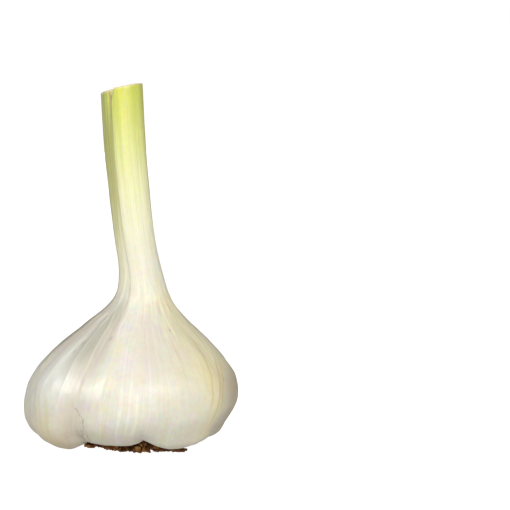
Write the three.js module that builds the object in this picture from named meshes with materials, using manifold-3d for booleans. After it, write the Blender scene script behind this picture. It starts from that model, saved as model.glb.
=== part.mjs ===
// A garlic bulb with its neck cut off square-ish above the cloves and its roots trimmed short.
//
// The bulb is one grown body: the wrapper leaves run unbroken from the root plate, over the cloves
// that swell under them, into the neck. The root plate with its cut roots is the brown piece below.
// Millimetres, +Z up, origin at the centre of the flat face under the root plate, front towards -Y.
// "Round" angles are degrees from the front, growing towards +X.
import * as THREE from "three";
import { mergeVertices } from "three/addons/utils/BufferGeometryUtils.js";
import Module from "manifold-3d";

const wasm = await Module();
wasm.setup();

// ---------------------------------------------------------------- driving dimensions

// The skin from the lip round the root plate, under the cloves, up the side and the neck to the cut.
// Each station: radius and height of the ring, then how far its centre stands towards +X and +Y.
const STATIONS = [
  [11.6, 4.2, 0.0, 0.0], // 0 lip round the root plate
  [17.0, 2.4, -1.0, 0.0],
  [24.6, 3.3, -1.4, 0.0],
  [28.2, 7.5, -2.4, 0.0],
  [29.8, 13.9, -1.2, 0.0], // 4 widest ring
  [28.0, 20.4, -0.5, 0.0],
  [22.4, 27.4, -0.1, 0.1],
  [14.3, 34.7, 0.5, 0.2], // 7 shoulder
  [8.1, 41.2, 1.6, 0.4],
  [6.0, 48.0, 1.3, 0.7], // 9 foot of the neck
  [5.5, 57.5, -0.3, 0.9],
  [5.5, 69.0, -1.6, 0.9],
  [5.6, 83.5, -2.9, 0.6],
  [5.6, 100.2, -3.7, 0.2], // 13 cut
];

// Cloves, round from the left of the front. from: where each begins at the widest ring; lean: how far
// that crease has moved round where it meets the root plate; side and base: its depth at the widest
// ring and at the root plate; low: how far the clove hangs below the outline; ribs: heights of the
// leaf's ribs over it, by how many tenths of the clove they stand across it.
const CLOVES = [
  { from: -27, lean: -20, side: 1.2, base: 1.5, low: -2.1, ribs: { 3: 0.18, 7: 0.03 } },
  { from: 10.5, lean: 17, side: 0.2, base: 4.2, low: -0.4, ribs: { 3: 0.03, 6: 0.1, 8: 0.09 } },
  { from: 62, lean: 3, side: 0.3, base: 0.6, low: -0.7, ribs: { 0: 0.1, 4: 0.05, 7: 0.14 } },
  { from: 101, lean: 4, side: 1.4, base: 0.9, low: -0.4, ribs: { 1: 0.25, 4: 0.35, 8: 0.2 } },
  { from: 131, lean: -3, side: 1.6, base: 2.1, low: 0.4, ribs: { 3: 0.3, 5: 0.2, 9: 0.3 } },
  { from: 161, lean: 2, side: 1.3, base: 1.5, low: 0.0, ribs: { 2: 0.2, 6: 0.35, 9: 0.15 } },
  { from: 193, lean: -4, side: 1.7, base: 2.2, low: -0.5, ribs: { 1: 0.3, 5: 0.25, 7: 0.3 } },
  { from: 226, lean: 3, side: 1.2, base: 1.7, low: 0.3, ribs: { 3: 0.35, 6: 0.15, 9: 0.25 } },
  { from: 258, lean: -2, side: 1.5, base: 2.0, low: 0.3, ribs: { 2: 0.25, 4: 0.12, 8: 0.05 } },
  { from: 292, lean: 3, side: 0.6, base: 0.4, low: 0.65, ribs: { 1: 0.06, 4: 0.18, 7: 0.22, 9: 0.25 } },
];
const LEAN_END = 2.6; // the station above which the creases run straight
const CLOVE_SWELL = 0.9; // how far the cloves swell the body
const VALLEY_WIDTH = 13; // degrees; the broad valley that a crease opens into up the sides
const VALLEY_SHARE = 0.6; // share of a crease's depth there that lies in its valley
const CREASE_WIDTH = 5; // degrees over which the crease itself falls off
const CREASE_ROUNDING = 1.6; // degrees of rounding at its bottom
const BULGE_POWER = 2.4; // the higher, the flatter a clove's underside
// Stations where each part of the relief begins, is full, begins to end and has ended.
const SWELL_SPAN = [0.6, 2.6, 5, 8.3];
const HANG_SPAN = [0, 1.2, 2, 3.8];
const VALLEY_SPAN = [0.5, 3, 5.5, 8.6];
const CREASE_SPAN = [-1, 0.8, 1.2, 4];
const RIB_RISE = [1, 6.5]; // stations over which the ribs rise
const RIB_CALM = [8, 10]; // stations over which they sink to their height on the neck
const RIB_SHARE_ON_NECK = 0.5;
// Waves round the body, which is never quite round: count, height, phase.
const UNEVEN = [
  [2, 0.35, 40],
  [3, 0.25, -70],
];

const NECK_OVAL = 0.93; // depth of the neck over its width
const OVAL_RISE = [7, 9]; // stations over which it becomes oval

const SHEATH_EDGE = -30; // where the outermost leaf's free edge runs down the neck
const SHEATH_THICKNESS = 0.45;
const SHEATH_RISE = [6, 9];
const SHEATH_ROUNDING = 3; // degrees over which the edge drops

const CUT_SLOPE = [0.24, -0.18]; // rise of the cut per millimetre towards +X and +Y
const CUT_RUN = 11.5; // stations up to this one stay level
// The cut face from its rim inwards, as shares of the radius and heights: nested leaf sheaths.
const CUT_RINGS = [
  [0.84, 0.0],
  [0.81, -0.7],
  [0.77, -0.7],
  [0.74, -0.15],
  [0.58, -0.15],
  [0.55, -0.7],
  [0.51, -0.7],
  [0.48, 0.0],
  [0.25, 0.15],
];
const CUT_CENTRE_RISE = 0.2;

const SOCKET_RADIUS = 11.4; // the hollow that holds the root plate
const SOCKET_ROOF = 6.1;

const PLATE_PROFILE = [
  [0, 0],
  [7.0, 0],
  [8.8, 0.8],
  [10.6, 1.8],
  [11.1, 3.0],
  [11.1, 5.2],
  [10.5, 5.8],
  [0, 5.8],
];
const PLATE_SIDES = 30;
const ROOTS = 110;
const ROOT_SEED = 23;
const ROOT_START = [7.8, 10.4]; // radius at which roots leave the plate
const ROOT_START_HEIGHT = [1.3, 2.1];
const ROOT_STEP = 0.618; // from one root to the next, as a share of those ranges
const ROOT_REACH = [1.2, 5.2]; // how far out they run, inner to outer
const ROOT_CUT = [0.6, 1]; // share of that reach left after the trim
const ROOT_END_HEIGHT = [0.45, 0.95];
const ROOT_RADIUS = [0.45, 0.7];
const ROOT_TIP = 0.6; // share of its radius that a root keeps at its cut end
const ROOT_JITTER = [-3, 3]; // degrees off its even place
const ROOT_SWAY = [-3.5, 3.5]; // degrees that it turns on its way out
const ROOT_SIDES = 5;

const COLUMNS_PER_CLOVE = 10; // so that each rib stands on a column
const ROWS_PER_STATION = 3;

// ---------------------------------------------------------------- helpers

const { degToRad, euclideanModulo, lerp, smoothstep } = THREE.MathUtils;

// Repeatable random numbers from 0 to 1 (mulberry32).
function seeded(seed) {
  let a = seed;
  return () => {
    a = (a + 0x6d2b79f5) | 0;
    let t = Math.imul(a ^ (a >>> 15), 1 | a);
    t = (t + Math.imul(t ^ (t >>> 7), 61 | t)) ^ t;
    return ((t ^ (t >>> 14)) >>> 0) / 4294967296;
  };
}

const angleBetween = (a, b) => euclideanModulo(a - b + 180, 360) - 180;

// ---------------------------------------------------------------- the skin

const LAST = STATIONS.length - 1;
const curve = (points) => new THREE.CatmullRomCurve3(points, false, "catmullrom", 0.5);
const outline = curve(STATIONS.map(([r, z]) => new THREE.Vector3(r, z, 0)));
const centre = curve(STATIONS.map(([, , x, y]) => new THREE.Vector3(x, y, 0)));

// The columns of the skin's grid: the clove each lies on, how far across it, and its rib, if any.
function makeColumns() {
  return CLOVES.flatMap((clove, index) =>
    Array.from({ length: COLUMNS_PER_CLOVE }, (_, c) => ({
      index,
      across: c / COLUMNS_PER_CLOVE,
      rib: clove.ribs[c] ?? 0,
    })),
  );
}

// The round angle of each crease at a station: it leans round as it nears the root plate.
function creaseAngles(station) {
  const leaning = 1 - smoothstep(station, 0, LEAN_END);
  const angles = CLOVES.map((clove) => clove.from + clove.lean * leaning);
  return [...angles, angles[0] + 360];
}

// 0 before the first station of a span, 1 between its middle two, 0 after its last.
const within = (station, [begin, full, ending, end]) =>
  smoothstep(station, begin, full) * (1 - smoothstep(station, ending, end));

// How far the skin stands off its outline, along the outline's own normal.
function relief(column, round, creases, station) {
  const valleyDeep = within(station, VALLEY_SPAN);
  const creaseDeep = within(station, CREASE_SPAN);
  const swell = within(station, SWELL_SPAN);
  const calm = lerp(1, RIB_SHARE_ON_NECK, smoothstep(station, ...RIB_CALM));
  const rib = smoothstep(station, ...RIB_RISE) * calm;

  // Each clove hangs by its own amount in its middle, and halfway to its neighbour's at the crease.
  const bulge = 1 - Math.abs(2 * column.across - 1) ** BULGE_POWER;
  const own = CLOVES[column.index].low;
  const beside = CLOVES.at(column.across < 0.5 ? column.index - 1 : (column.index + 1) % CLOVES.length);
  const hang = within(station, HANG_SPAN) * lerp((own + beside.low) / 2, own, bulge);

  let height = swell * CLOVE_SWELL + hang + rib * column.rib + sheathRelief(round, station);
  for (const [count, size, phase] of UNEVEN) {
    height += swell * size * Math.cos(degToRad(count * round + phase));
  }
  CLOVES.forEach((clove, i) => {
    const off = angleBetween(round, creases[i]);
    const valley = Math.exp(-((off / VALLEY_WIDTH) ** 2));
    const crease = Math.exp((CREASE_ROUNDING - Math.hypot(off, CREASE_ROUNDING)) / CREASE_WIDTH);
    height -= valleyDeep * clove.side * lerp(crease, valley, VALLEY_SHARE);
    height -= creaseDeep * clove.base * crease;
  });
  return height;
}

// The outermost leaf wraps the neck once, thickest at its free edge.
function sheathRelief(round, station) {
  const wrapped = euclideanModulo(round - SHEATH_EDGE, 360);
  const step = smoothstep(wrapped, 0, SHEATH_ROUNDING) * (1 - wrapped / 360);
  return smoothstep(station, ...SHEATH_RISE) * SHEATH_THICKNESS * step;
}

// A ring of the skin at a station between 0, the lip, and LAST, the cut.
function skinRing(columns, station) {
  const at = outline.getPoint(station / LAST);
  const along = outline.getTangent(station / LAST);
  const off = centre.getPoint(station / LAST);
  const oval = lerp(1, NECK_OVAL, smoothstep(station, ...OVAL_RISE));
  const slanted = smoothstep(station, CUT_RUN, LAST);
  const creases = creaseAngles(station);
  return columns.map((column) => {
    const round = lerp(creases[column.index], creases[column.index + 1], column.across);
    const out = relief(column, round, creases, station);
    const radius = at.x + out * along.y;
    const x = radius * Math.sin(degToRad(round));
    const y = -radius * Math.cos(degToRad(round)) * oval;
    const slant = slanted * (x * CUT_SLOPE[0] + y * CUT_SLOPE[1]);
    return new THREE.Vector3(off.x + x, off.y + y, at.y - out * along.x + slant);
  });
}

// The rings inside the cut, each a smaller copy of the rim, raised or sunk.
function cutRings(rim, middle) {
  return CUT_RINGS.map(([share, height]) =>
    rim.map((p) => middle.clone().lerp(p, share).setZ(lerp(middle.z, p.z, share) + height)),
  );
}

function socketRing(columns) {
  const creases = creaseAngles(0);
  return columns.map(({ index, across }) => {
    const round = degToRad(lerp(creases[index], creases[index + 1], across));
    const x = SOCKET_RADIUS * Math.sin(round);
    const y = -SOCKET_RADIUS * Math.cos(round);
    return new THREE.Vector3(x, y, SOCKET_ROOF);
  });
}

// One closed surface from rings of equal length, with a pole below the first and above the last.
function closedSurface(rings, lowPole, highPole) {
  const columns = rings[0].length;
  const last = rings.length - 1;
  const points = [lowPole, ...rings.flat(), highPole];
  const at = (row, column) => 1 + row * columns + (column % columns);
  const index = [];
  for (let c = 0; c < columns; c++) {
    index.push(0, at(0, c + 1), at(0, c));
    for (let r = 0; r < last; r++) {
      index.push(at(r, c), at(r, c + 1), at(r + 1, c + 1));
      index.push(at(r, c), at(r + 1, c + 1), at(r + 1, c));
    }
    index.push(at(last, c), at(last, c + 1), points.length - 1);
  }
  return new THREE.BufferGeometry().setFromPoints(points).setIndex(index);
}

// From the roof of the socket round the skin to the middle of the cut.
function bulbGeometry() {
  const columns = makeColumns();
  const skin = [];
  for (let row = 0; row <= LAST * ROWS_PER_STATION; row++) {
    skin.push(skinRing(columns, row / ROWS_PER_STATION));
  }
  const end = centre.getPoint(1);
  const middle = new THREE.Vector3(end.x, end.y, outline.getPoint(1).y);
  const rings = [socketRing(columns), ...skin, ...cutRings(skin.at(-1), middle)];
  const top = middle.clone().setZ(middle.z + CUT_CENTRE_RISE);
  return closedSurface(rings, new THREE.Vector3(0, 0, SOCKET_ROOF), top);
}

// ---------------------------------------------------------------- root plate and roots

// A three.js geometry as a manifold-3d solid: only its positions, with shared corners merged.
function solidOf(geometry) {
  const bare = geometry.clone();
  bare.deleteAttribute("normal");
  bare.deleteAttribute("uv");
  const merged = mergeVertices(bare, 1e-4);
  return new wasm.Manifold(
    new wasm.Mesh({
      numProp: 3,
      vertProperties: merged.attributes.position.array,
      triVerts: new Uint32Array(merged.index.array),
    }),
  );
}

function geometryOf(solid) {
  const mesh = solid.getMesh();
  return new THREE.BufferGeometry()
    .setAttribute("position", new THREE.BufferAttribute(mesh.vertProperties, 3))
    .setIndex(new THREE.BufferAttribute(mesh.triVerts, 1));
}

function plateSolid() {
  const profile = PLATE_PROFILE.map(([r, z]) => new THREE.Vector2(r, z));
  return solidOf(new THREE.LatheGeometry(profile, PLATE_SIDES).rotateX(Math.PI / 2));
}

// A tapered root from one point to another, cut square at its end.
function rootSolid(start, end, radius) {
  const along = end.clone().sub(start);
  const turn = new THREE.Quaternion().setFromUnitVectors(
    new THREE.Vector3(0, 1, 0),
    along.clone().normalize(),
  );
  const stub = new THREE.CylinderGeometry(
    radius * ROOT_TIP,
    radius,
    along.length(),
    ROOT_SIDES,
  );
  stub.applyQuaternion(turn);
  stub.translate(...start.clone().lerp(end, 0.5).toArray());
  return solidOf(stub);
}

// Roots leave the plate all round its rim, the outer ones splayed nearly flat under the cloves.
function rootCrownGeometry() {
  const random = seeded(ROOT_SEED);
  const draw = (range) => lerp(...range, random());
  const place = (r, round, z) => new THREE.Vector3(r * Math.sin(round), -r * Math.cos(round), z);
  let crown = plateSolid();
  for (let i = 0; i < ROOTS; i++) {
    const outer = (i * ROOT_STEP) % 1;
    const round = (i * 360) / ROOTS + draw(ROOT_JITTER);
    const from = lerp(...ROOT_START, outer);
    const to = from + lerp(...ROOT_REACH, outer) * draw(ROOT_CUT);
    const start = place(from, degToRad(round), lerp(...ROOT_START_HEIGHT, outer));
    const end = place(to, degToRad(round + draw(ROOT_SWAY)), draw(ROOT_END_HEIGHT));
    crown = crown.add(rootSolid(start, end, draw(ROOT_RADIUS)));
  }
  return geometryOf(crown);
}

// ---------------------------------------------------------------- the part

function piece(name, geometry, color, roughness) {
  const material = new THREE.MeshStandardMaterial({ color, roughness, metalness: 0 });
  const mesh = new THREE.Mesh(geometry, material);
  mesh.name = name;
  return mesh;
}

const garlic = new THREE.Group();
garlic.name = "garlic";
garlic.add(piece("bulb", bulbGeometry(), 0xe9e2cf, 0.45));
garlic.add(piece("root_crown", rootCrownGeometry(), 0x6b4a2c, 0.85));

export default garlic;
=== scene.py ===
"""A garlic bulb standing on its trimmed roots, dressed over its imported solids.

Lengths here are millimetres until a mesh is written, in metres. +Z is up and the front faces -Y.
"Round" angles are degrees from the front, growing towards +X. A "station" is a place along the
outline of the skin, from 0 at the lip round the root plate to 13 at the cut end of the neck.
"""

import bpy
import numpy as np
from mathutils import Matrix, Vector


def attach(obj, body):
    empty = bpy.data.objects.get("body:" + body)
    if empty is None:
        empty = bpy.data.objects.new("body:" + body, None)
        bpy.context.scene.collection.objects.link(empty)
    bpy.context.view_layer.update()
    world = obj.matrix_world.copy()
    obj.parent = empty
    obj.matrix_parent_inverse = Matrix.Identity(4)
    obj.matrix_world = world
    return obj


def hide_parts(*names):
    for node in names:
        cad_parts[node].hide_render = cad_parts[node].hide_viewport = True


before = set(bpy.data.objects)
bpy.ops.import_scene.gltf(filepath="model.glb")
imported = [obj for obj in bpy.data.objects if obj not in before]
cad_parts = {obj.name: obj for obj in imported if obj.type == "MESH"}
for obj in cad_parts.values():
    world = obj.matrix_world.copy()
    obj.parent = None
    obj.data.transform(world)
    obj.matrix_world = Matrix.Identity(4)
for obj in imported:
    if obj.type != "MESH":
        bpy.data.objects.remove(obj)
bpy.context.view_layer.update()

MM = 0.001
TINY = 1e-6
NOISE_ROWS = 512  # rows of random numbers, after which noise repeats along its run

# ---------------------------------------------------------------- the bulb's driving dimensions
# These repeat the part's own source, so that the fine skin lies on the solid it replaces.

# Radius and height of each ring, then how far its centre stands towards +X and +Y.
STATIONS = np.array([
    (11.6, 4.2, 0.0, 0.0),
    (17.0, 2.4, -1.0, 0.0),
    (24.6, 3.3, -1.4, 0.0),
    (28.2, 7.5, -2.4, 0.0),
    (29.8, 13.9, -1.2, 0.0),
    (28.0, 20.4, -0.5, 0.0),
    (22.4, 27.4, -0.1, 0.1),
    (14.3, 34.7, 0.5, 0.2),
    (8.1, 41.2, 1.6, 0.4),
    (6.0, 48.0, 1.3, 0.7),
    (5.5, 57.5, -0.3, 0.9),
    (5.5, 69.0, -1.6, 0.9),
    (5.6, 83.5, -2.9, 0.6),
    (5.6, 100.2, -3.7, 0.2),
])
LAST = len(STATIONS) - 1

# Cloves: first angle at the widest ring, how far that crease leans round by the root plate, depth of
# the crease at the widest ring and at the root plate, how low the clove hangs.
CLOVE_FROM = np.array([-27, 10.5, 62, 101, 131, 161, 193, 226, 258, 292.0])
CLOVE_LEAN = np.array([-20, 17, 3, 4, -3, 2, -4, 3, -2, 3.0])
CREASE_SIDE = np.array([1.2, 0.2, 0.3, 1.4, 1.6, 1.3, 1.7, 1.2, 1.5, 0.6])
CREASE_BASE = np.array([1.5, 4.2, 0.6, 0.9, 2.1, 1.5, 2.2, 1.7, 2.0, 0.4])
CLOVE_LOW = np.array([-2.1, -0.4, -0.7, -0.4, 0.4, 0.0, -0.5, 0.3, 0.3, 0.65])
CLOVES = len(CLOVE_FROM)
LEAN_END = 2.6  # the station from which creases run straight up
CLOVE_SWELL = 0.9
VALLEY_WIDTH = 13.0  # degrees, as the two widths of the crease are
VALLEY_SHARE = 0.6  # how much of the depth is in the valley, the rest being the crease in it
CREASE_WIDTH = 5.0
CREASE_ROUNDING = 1.6
BULGE_POWER = 2.4
UNEVEN = [(2, 0.35, 40), (3, 0.25, -70)]  # waves once round, their height and their turn in degrees
# Stations where each part of the relief begins, is full, begins to end and has ended.
SWELL_SPAN = (0.6, 2.6, 5, 8.3)
HANG_SPAN = (0, 1.2, 2, 3.8)
VALLEY_SPAN = (0.5, 3, 5.5, 8.6)
CREASE_SPAN = (-1, 0.8, 1.2, 4)
RIB_RISE = (1, 6.5)
RIB_CALM = (8, 10)
RIB_SHARE_ON_NECK = 0.5

# Ribs of the wrapper leaf: how far across each clove they stand, and how high.
RIBS = [
    [(0.3, 0.18), (0.7, 0.03)],
    [(0.3, 0.03), (0.6, 0.10), (0.8, 0.09)],
    [(0.0, 0.10), (0.4, 0.05), (0.7, 0.14)],
    [(0.1, 0.25), (0.4, 0.35), (0.8, 0.20)],
    [(0.3, 0.30), (0.5, 0.20), (0.9, 0.30)],
    [(0.2, 0.20), (0.6, 0.35), (0.9, 0.15)],
    [(0.1, 0.30), (0.5, 0.25), (0.7, 0.30)],
    [(0.3, 0.35), (0.6, 0.15), (0.9, 0.25)],
    [(0.2, 0.25), (0.4, 0.12), (0.8, 0.05)],
    [(0.1, 0.06), (0.4, 0.18), (0.7, 0.22), (0.9, 0.25)],
]
NECK_OVAL = 0.93
OVAL_RISE = (7, 9)
SHEATH_EDGE = -30.0
SHEATH_THICKNESS = 0.45
SHEATH_RISE = (6, 9)
SHEATH_ROUNDING = 7.0  # softer than on the solid
CUT_SLOPE = (0.24, -0.18)
CUT_RUN = 11.5
SOCKET_RADIUS = 11.4
SOCKET_ROOF = 6.1

# The corky plate that the roots grow from: radius and height, from its flat foot to its top.
PLATE_PROFILE = [(7.0, 0), (8.8, 0.8), (10.6, 1.8), (11.1, 3.0), (11.1, 5.2), (10.5, 5.8)]

# ---------------------------------------------------------------- what only this script adds

COLUMNS = 58  # columns of the fine skin across each clove
ROW_SPANS = [(0, 2, 22), (2, 5, 46), (5, 9, 42), (9, 12.3, 22), (12.3, 13, 12)]
FINE_VEINS = 11  # across each clove, between and beside the ribs
FINE_VEIN_SEED = 5
FINE_VEIN_HEIGHT = (0.003, 0.022)
FINE_VEIN_HALF_WIDTH = 0.2  # as a share of their spacing, as the next two are
FINE_VEIN_OFFSET = (-0.25, 0.25)
FINE_VEIN_DRIFT = [(0.18, (37, 0.9), 11)]
FINE_VEIN_RISE = (0.3, 2.5)
# Layers of noise: height, cells round and along, and seed.
SKIN_ROUGHNESS = [(0.10, (60, 2.2), 21), (0.05, (140, 5), 22)]
SKIN_ROUGH_RISE = (0.2, 1.5)
RIB_HALF_WIDTH = 0.85  # degrees
RIB_NARROWING = (6.0, 8.6)  # from the shoulder to the neck a rib keeps some of its width
RIB_TURN_ON_NECK = 2.4  # so it takes up this many times the angle
RIB_SHARE = (0.65, 0.38)  # of the solid's ribs, as these are narrower: on the belly and above it
SHOULDER = (4.9, 6.8)
RIB_DITCH = 0.2  # how deep, as a share of the rib's height
RIB_DITCH_PLACE = 3.0  # how far to the left, as a share of the rib's half width
RIB_DITCH_WIDTH = 2.2
SPLIT_DEPTH = 0.75  # the split at the top of the leaf's free edge
SPLIT_PLACE = 1.0  # degrees its foot stands to the right of the leaf's edge
SPLIT_HALF_WIDTH = 9.5
SPLIT_LEAN = 3.0  # degrees its open end stands to the right of its foot
SPLIT_BOTTOM = 0.6  # the share of its width that is flat
SPLIT_SIDE_WIDTH = 1.6
SPLIT_RUN = 3.4

# How the ribs near the front bend as they climb: clove and number of the rib, stations and degrees.
RIB_BENDS = {
    (9, 1): [(3, -3), (5.8, -5), (6.7, 4), (7.4, 5), (9, 0)],
    (9, 2): [(5.2, -1), (6.2, -3.5), (7.2, -5.5), (8.1, -11), (10, 0)],
    (9, 3): [(4.6, 2), (5.9, 0), (6.8, -2.5), (7.2, -4), (7.9, -15), (8.5, -15), (10.2, 0)],
    (0, 0): [(5.2, 1), (6.3, 1.5), (7.2, -5), (8.1, -19), (8.7, -18), (10.4, 0)],
    (1, 1): [(4.2, -1), (4.6, 1), (5.4, 5.5), (5.8, 8), (6.1, 7.5), (6.5, 1), (8, 0)],
    (1, 2): [(4, 0), (4.9, 5), (5.5, 11), (6, 19), (6.5, 26), (8, 20), (10, 0)],
}

# Thin lines of the skin: name, half width in degrees, then stations and angles. Brown ones curve up the
# right shoulder, straw ones lie on the left clove, and leaf ones run along the neck beside the free edge.
LINES = [
    ("brown_line", 0.9, [(3.2, 51), (4.3, 54.5), (4.9, 58.5), (5.5, 64.5), (6.1, 73)]),
    ("brown_line", 0.8, [(3.6, 56), (4.4, 58.5), (4.9, 62), (5.4, 67.5), (5.9, 76)]),
    ("brown_line", 0.6, [(3.8, 47), (4.8, 50), (5.5, 54.5), (6.1, 58), (6.9, 62)]),
    ("straw_line", 1.5, [(2.2, -55.5), (3.4, -56.5), (4.4, -61.5), (5.0, -65)]),
    ("straw_line", 1.2, [(2.2, -49.5), (3.5, -51.5), (4.3, -56), (4.9, -60)]),
    ("straw_line", 1.4, [(2.2, -45.4), (3.6, -45.8), (4.2, -48.2), (4.7, -51)]),
    ("leaf_line", 4.0, [(11.7, -61), (12.4, -57), (13.6, -55)]),
    ("leaf_line", 2.4, [(9.6, -58), (10.6, -53), (11.4, -48), (12.2, -45), (13.6, -46)]),
    ("leaf_line", 2.0, [(10.0, -46), (11, -41), (11.8, -38), (12.6, -35), (13.2, -34)]),
]
# Their shares and colours.
LINE_TINTS = [
    ("brown_line", 0.55, (0.64, 0.47, 0.13)),
    ("straw_line", 0.42, (0.68, 0.63, 0.30)),
    ("leaf_line", 0.34, (0.28, 0.34, 0.05)),
]

LINE_FADE = 0.5  # stations

# Broad tints of the skin, some of them painted shade and one a painted highlight: name, angle of the
# middle, half width in degrees, how crisp the sides are, first and last station.
PATCHES = [
    # painted shade: a darker grey band in the valley between the ribs of the left shoulder
    ("shoulder_valley_shade", (-38.5, 12.0, 6, 5.7, 7.5)),
    ("pink_and_groove_shade", (-26.0, 6.0, 4, 6.0, 7.4)),
    ("pink_and_groove_shade", (-68.0, 12.0, 6, 5.9, 7.2)),
    ("pink_and_groove_shade", (14.0, 16.0, 2, 5.6, 6.8)),
    # painted shade in the groove left of the front clove; the pink patches above are the skin's own tone
    ("pink_and_groove_shade", (-31.0, 5.0, 2, 2.6, 5.0)),
    # painted highlight on the belly of the left clove
    ("pale", (-54.0, 14.0, 3, 4.5, 5.8)),
    ("warm", (66.0, 34.0, 3, 5.2, 7.8)),
    ("warm", (-64.0, 26.0, 2, 8.6, 11.0)),
    ("warm", (53.0, 13.0, 2, 2.4, 5.0)),
    # painted shade, tinted tan, down the right side of the belly
    ("tan_and_right_side_shade", (85.0, 25.0, 4, 1.0, 4.5)),
    # a tan stain near the roots on the left
    ("tan_and_right_side_shade", (-42.0, 16.0, 2, 0.8, 1.9)),
    ("straw", (-50.0, 20.0, 2, 0.8, 2.9)),
    # painted shade along the left side of the shoulder
    ("left_edge_shade", (-90.0, 14.0, 6, 5.8, 8.3)),
    ("shade", (-28.0, 6.0, 4, 11.5, 12.2)),
    # painted shade down both sides of the neck and near its top on the right
    ("neck_side_shade", (-90.0, 20.0, 4, 9.6, 13.0)),
    ("neck_side_shade", (94.0, 16.0, 4, 10.6, 13.0)),
    ("neck_side_shade", (68.0, 12.0, 3, 12.5, 13.0)),
    ("green", (-16.0, 11.0, 2, 12.2, 13.0)),
    ("green", (36.0, 14.0, 2, 12.4, 13.0)),
    ("green", (72.0, 26.0, 2, 12.3, 13.0)),
    ("green", (-84.0, 20.0, 2, 11.0, 13.0)),
    ("green", (-60.0, 14.0, 2, 12.2, 13.0)),
]
# Their shares and colours.
PATCH_TINTS = [
    ("warm", 0.55, (0.95, 0.87, 0.51)),
    # a tan stain, and painted shade on the right side
    ("tan_and_right_side_shade", 0.8, (0.42, 0.33, 0.20)),
    ("straw", 0.4, (0.98, 0.78, 0.42)),
    # painted shade
    ("left_edge_shade", 0.85, (0.24, 0.22, 0.13)),
    # painted highlight
    ("pale", 0.7, (0.93, 0.94, 0.89)),
    # painted shade in the left shoulder's valley
    ("shoulder_valley_shade", 0.88, (0.46, 0.45, 0.36)),
    ("shade", 0.6, (0.55, 0.55, 0.20)),
    # painted shade
    ("neck_side_shade", 0.5, (0.36, 0.36, 0.12)),
    # the skin's pink tone, and painted shade in the groove left of the front clove
    ("pink_and_groove_shade", 0.5, (0.68, 0.58, 0.50)),
    ("green", 0.52, (0.50, 0.60, 0.06)),
]
PATCH_FADE = (1.0, 0.8, 1.5)  # stations before and after its first one, and past its last

# Small dark flecks: angle, station and half width in millimetres.
FLECKS = [
    (-23.0, 6.75, 0.55),
    (-46.5, 6.42, 0.42),
    (-49.0, 6.1, 0.22),
    (38.0, 6.9, 0.25),
    (64.0, 5.0, 0.3),
]
STATION_DEG = 20  # degrees round that are about as far as one station along

# The torn line down the groove left of the front clove: station and angle.
CRACK_PATH = [
    (0.4, -45), (1, -38), (1.6, -29.5), (2.2, -23.5), (2.9, -21),
    (3.4, -21.5), (3.8, -24), (4.1, -28), (4.5, -31),
]
# Its branches: degrees beside the path, first and last station.
CRACK_BRANCHES = [(0.0, 0.3, 4.6), (-3.0, 1.8, 3.6)]
CRACK_HALF_WIDTH = 0.5
CRACK_WAVES = [(0.8, 5.2, 1), (0.5, 17, 2)]  # degrees, rate along it, and shift for each degree beside it

# The inner leaf to the left of the free edge: degrees past that edge and stations where it comes in,
# how strong it is beside the edge, lower down and at the cut, and where that begins and is full.
INNER_LEAF_TURN = (270, 310)
INNER_LEAF_RISE = (8.8, 12.6)
INNER_LEAF_CLOSE = (1.12, 0.42)
INNER_LEAF_FADE = (12.3, 12.9)
INNER_LEAF_BESIDE = (330, 345)
LEAF_EDGE_PLACE = 0.5  # degrees from the free edge to its brown line
LEAF_EDGE_HALF_WIDTH = 2.0
LEAF_EDGE_RISE = (7, 9.5)
# Tints on ribs, and painted shade in creases: how wide against the rib, and the height and depth at which
# they are full.
RIB_TINT_WIDTH = 0.7
RIB_TINT_HEIGHT = 0.22
CREASE_TINT_DEPTH = 1.5

# The cut end: shares of the rim's radius and heights, for leaf sheaths nested in each other.
CUT_RINGS = [
    (0.985, 0.06), (0.93, 0.08), (0.86, 0.02), (0.83, -0.35), (0.81, -0.7), (0.785, -0.7), (0.77, -0.45),
    (0.75, -0.1), (0.70, -0.02), (0.63, -0.05), (0.59, -0.15), (0.57, -0.5), (0.55, -0.7), (0.53, -0.7),
    (0.51, -0.4), (0.49, 0.0), (0.44, 0.08), (0.38, 0.1), (0.34, 0.04), (0.32, -0.25), (0.30, -0.3),
    (0.28, 0.0), (0.22, 0.14), (0.12, 0.19),
]
CUT_CENTRE_RISE = 0.2
CUT_RADIUS = 5.5
CUT_SHARPNESS = 60  # how fast the colours of the cut set in from the rim
CUT_WAVER = [(0.06, (9, 3), 31)]  # of each ring, as a share of the radius
CUT_ROUGHNESS = [(0.05, (150, 1), 32)]

# The root plate's inner rings, on the floor, and the places on its profile where knobs and pits set in.
PLATE_FOOT = (1.5, 3.0, 4.5, 6.0)
PLATE_RINGS = 40
PLATE_COLUMNS = 180
PLATE_ROUGHNESS = [(0.35, (40, 2), 51), (0.2, (90, 5), 52)]
PLATE_RIM_RISE = (2.5, 5)
PLATE_PITS_END = (6, 8)
PLATE_PIT_SHARE = 0.8
PLATE_LOW_POLE = 0.1

ROOT_RINGS = 7
ROOT_SIDES = 5
ROOT_SEED = 77
# Kinds of root: how many, how far out they start, how far past the trimmed edge they end, half their
# thickness at the start, and how high they end.
ROOT_KINDS = [
    (440, (8.4, 10.6), (-1.6, 0.0), (0.5, 0.92), (0.45, 1.3)),
    (160, (8.0, 10.6), (-1.2, 0.35), (0.16, 0.3), (0.2, 1.5)),
]
ROOT_BLUNT = (0.55, 0.95)  # how much of a root's thickness is left at its cut end
ROOT_TOP = (0.7, 1.7)  # how high they leave the plate
ROOT_DROOP = 0.8  # the share of its way on which a root comes down
ROOT_CLEAR = 0.03  # above the floor
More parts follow.
